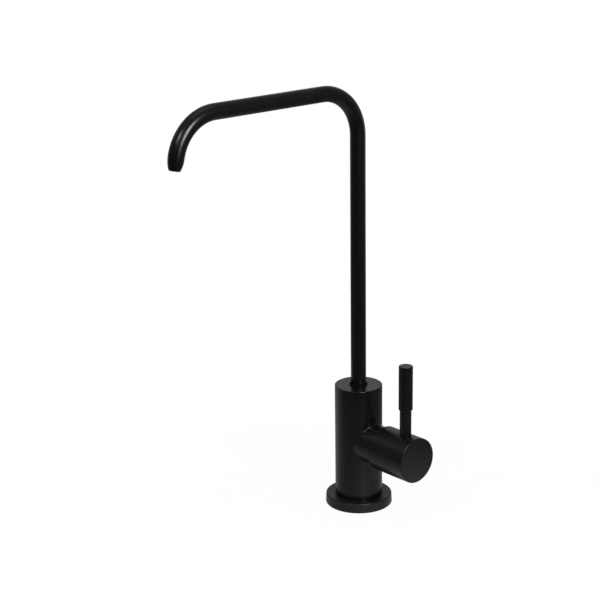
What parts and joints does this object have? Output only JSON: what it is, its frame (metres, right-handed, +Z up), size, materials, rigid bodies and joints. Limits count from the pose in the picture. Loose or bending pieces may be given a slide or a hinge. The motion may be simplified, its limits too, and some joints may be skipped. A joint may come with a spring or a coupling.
{
  "type": "drinking water filter tap",
  "caption": "Slim filter tap: tall swivelling bent spout, turned body on a round flange, side lever that opens a quarter-turn ceramic valve, threaded inlet shank clamped under the worktop.",
  "frame": {"origin": "on the axis of the body, level with the top of the worktop that the flange rests on", "axes": "+Z up along the body, +X along the valve's axis towards the lever's hub, spout along -Y at rest"},
  "size_m": [0.0919, 0.2033, 0.3975],
  "materials": {
    "black_finish": "satin black coating",
    "brass": "turned",
    "steel": "stamped",
    "rubber": "moulded",
    "silicone": "moulded",
    "ceramic": "lapped",
    "bush_plastic": "moulded",
    "slip_plastic": "smooth"
  },
  "bodies": {
    "base": {"tap_body": "black_finish", "spout_bush": "bush_plastic", "base_flange": "black_finish", "base_gasket": "rubber", "valve_housing": "brass", "housing_o_ring": "rubber", "fixed_disc": "ceramic", "seat_seal": "silicone", "shank": "brass", "shank_seal": "rubber", "rubber_washer": "rubber", "steel_washer": "steel", "deck_nut": "brass"},
    "handle": {"handle_hub": "black_finish", "hub_set_screw": "steel", "lever_stem": "black_finish", "lever_grip": "black_finish", "valve_spindle": "brass", "spindle_o_rings": "rubber", "thrust_washer": "slip_plastic", "spindle_clip": "steel", "moving_disc": "ceramic"},
    "spout": {"spout_tube": "black_finish", "spout_ferrule": "brass", "spout_o_rings": "rubber", "spout_retaining_ring": "steel"}
  },
  "joints": [
    {"name": "handle_turn", "type": "hinge", "parent": "base", "child": "handle", "pos_m": [0.05, 0, 0.0539], "axis": [1, 0, 0], "range_deg": [0, 90]},
    {"name": "spout_swivel", "type": "hinge", "parent": "base", "child": "spout", "pos_m": [0, 0, 0.09], "axis": [0, 0, 1], "continuous": true}
  ]
}
